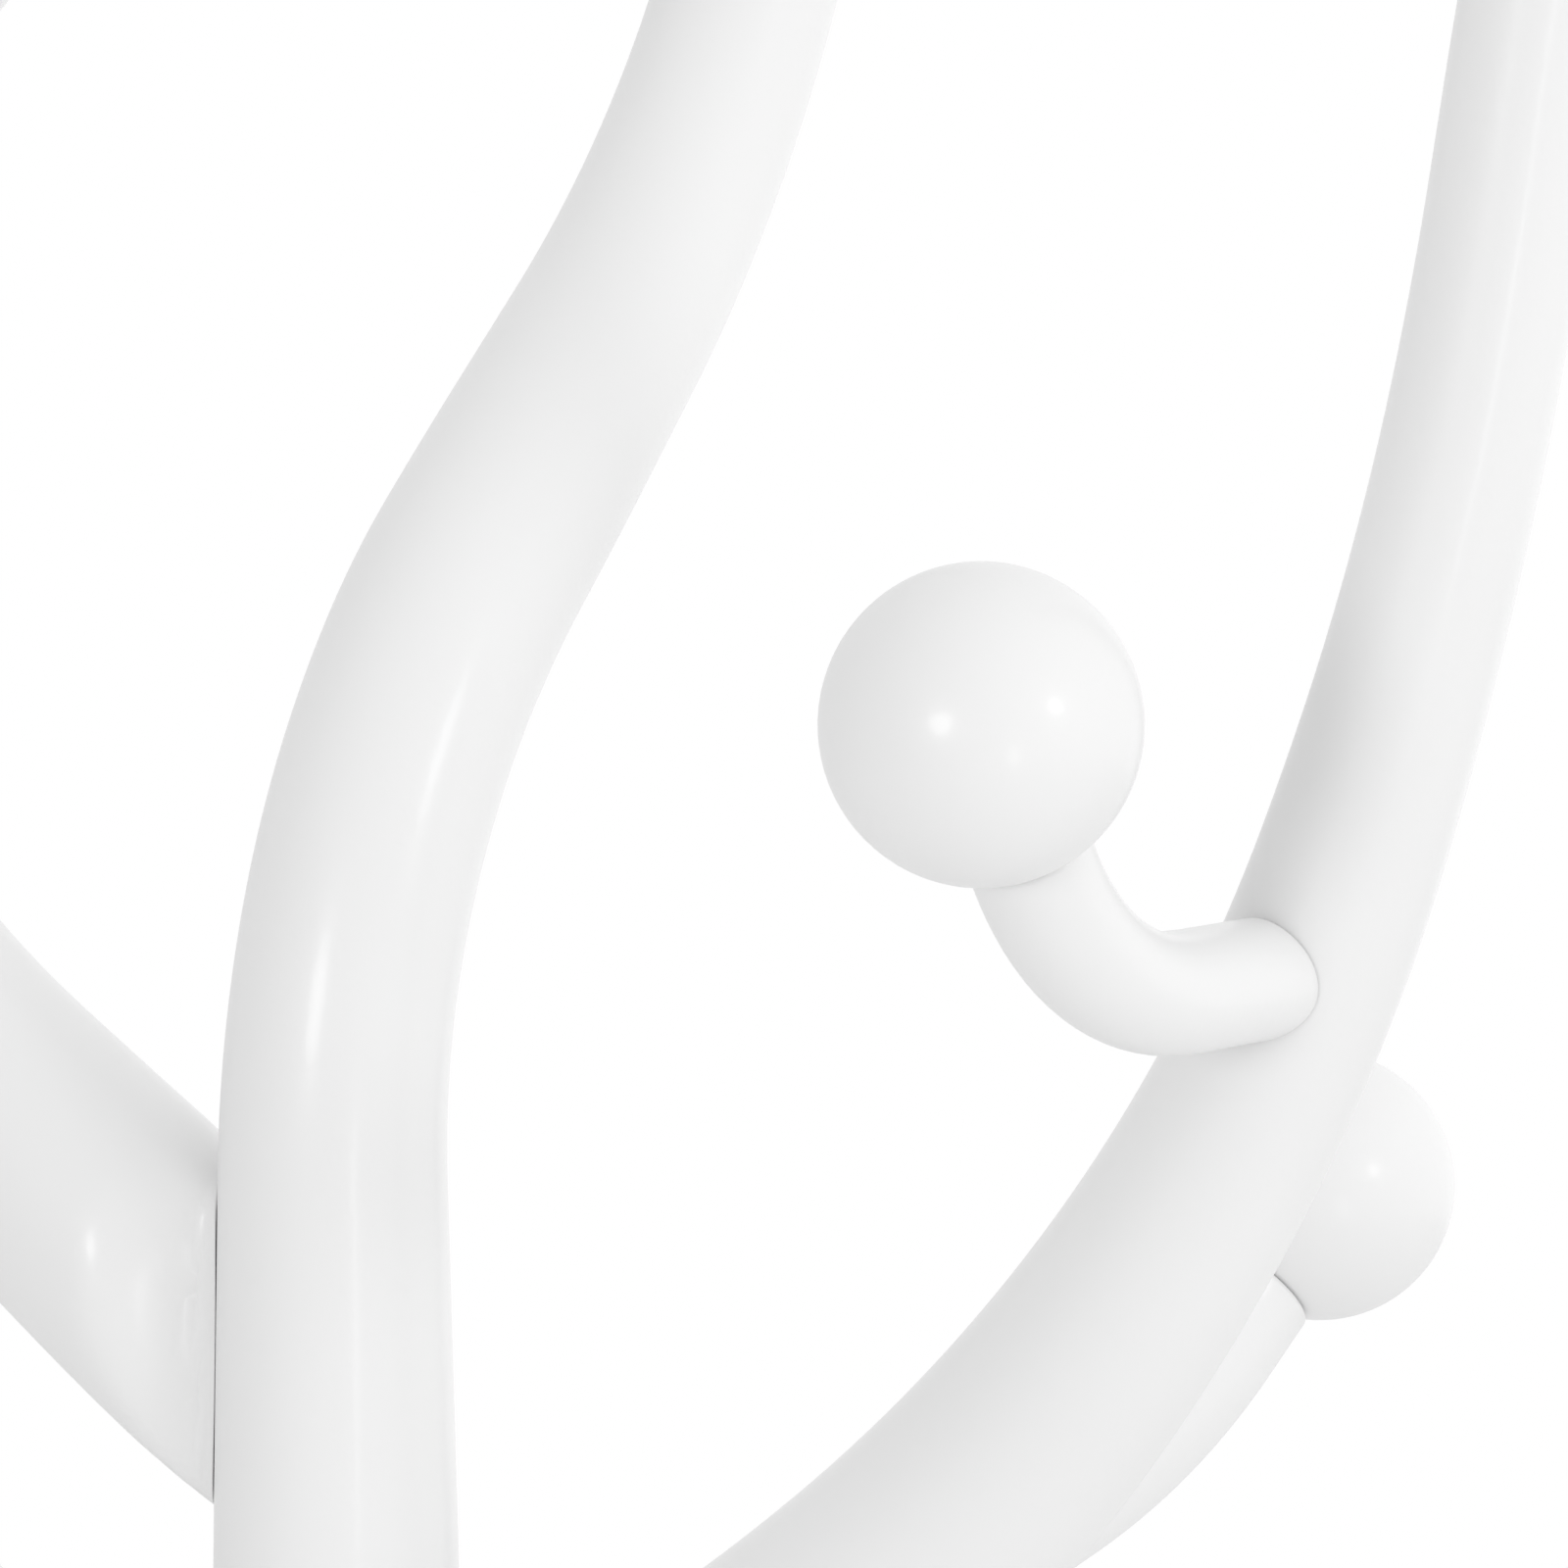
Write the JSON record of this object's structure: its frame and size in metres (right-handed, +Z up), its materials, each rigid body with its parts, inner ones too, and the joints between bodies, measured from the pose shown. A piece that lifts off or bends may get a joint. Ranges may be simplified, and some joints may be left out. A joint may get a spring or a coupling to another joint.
{
  "type": "coat rack",
  "caption": "Tree-shaped standing coat rack in white lacquered bent wood, with curved tapering arms, ball-ended hooks and four arched legs on screw-in glides.",
  "frame": {"origin": "on the floor, on the axis of the straight lower trunk, between the four glides", "axes": "+Z up along the trunk, +X towards one leg and roughly towards the right arm, -Y towards the front leg"},
  "size_m": [0.5492, 0.5492, 1.751],
  "materials": {
    "lacquered_wood": "white gloss lacquer",
    "raw_wood": "bare beech",
    "steel": "zinc plated",
    "brass": "plain",
    "glide_plastic": "moulded, satin"
  },
  "bodies": {
    "stand": {"trunk_lower": "lacquered_wood", "trunk_upper": "lacquered_wood", "top_ball": "lacquered_wood", "right_hook": "lacquered_wood", "left_hook": "lacquered_wood", "top_hook": "lacquered_wood", "right_hook_ball": "lacquered_wood", "left_hook_ball": "lacquered_wood", "top_hook_ball": "lacquered_wood", "right_arm": "lacquered_wood", "right_arm_ball": "lacquered_wood", "right_arm_stud": "steel", "right_arm_ball_stud": "steel", "right_arm_dowel": "raw_wood", "left_arm": "lacquered_wood", "left_arm_ball": "lacquered_wood", "left_arm_stud": "steel", "left_arm_ball_stud": "steel", "left_arm_dowel": "raw_wood", "rear_right_branch": "lacquered_wood", "rear_right_branch_ball": "lacquered_wood", "rear_right_branch_stud": "steel", "rear_right_branch_ball_stud": "steel", "rear_right_branch_dowel": "raw_wood", "rear_left_branch": "lacquered_wood", "rear_left_branch_ball": "lacquered_wood", "rear_left_branch_stud": "steel", "rear_left_branch_ball_stud": "steel", "rear_left_branch_dowel": "raw_wood", "front_branch": "lacquered_wood", "front_branch_ball": "lacquered_wood", "front_branch_stud": "steel", "front_branch_ball_stud": "steel", "front_branch_dowel": "raw_wood", "top_ball_stud": "steel", "trunk_joint_stud": "steel", "trunk_joint_insert_lower": "brass", "trunk_joint_insert_upper": "brass", "leg_right": "lacquered_wood", "leg_right_stud": "steel", "leg_right_dowel": "raw_wood", "leg_right_glide_insert": "brass", "leg_rear": "lacquered_wood", "leg_rear_stud": "steel", "leg_rear_dowel": "raw_wood", "leg_rear_glide_insert": "brass", "leg_left": "lacquered_wood", "leg_left_stud": "steel", "leg_left_dowel": "raw_wood", "leg_left_glide_insert": "brass", "leg_front": "lacquered_wood", "leg_front_stud": "steel", "leg_front_dowel": "raw_wood", "leg_front_glide_insert": "brass"},
    "glide_right": {"leg_right_glide": "glide_plastic"},
    "glide_rear": {"leg_rear_glide": "glide_plastic"},
    "glide_left": {"leg_left_glide": "glide_plastic"},
    "glide_front": {"leg_front_glide": "glide_plastic"}
  },
  "joints": [
    {"name": "glide_right_screw", "type": "slide", "parent": "stand", "child": "glide_right", "axis": [0, 0, -1], "range_m": [0, 0.008]},
    {"name": "glide_rear_screw", "type": "slide", "parent": "stand", "child": "glide_rear", "axis": [0, 0, -1], "range_m": [0, 0.008]},
    {"name": "glide_left_screw", "type": "slide", "parent": "stand", "child": "glide_left", "axis": [0, 0, -1], "range_m": [0, 0.008]},
    {"name": "glide_front_screw", "type": "slide", "parent": "stand", "child": "glide_front", "axis": [0, 0, -1], "range_m": [0, 0.008]}
  ]
}
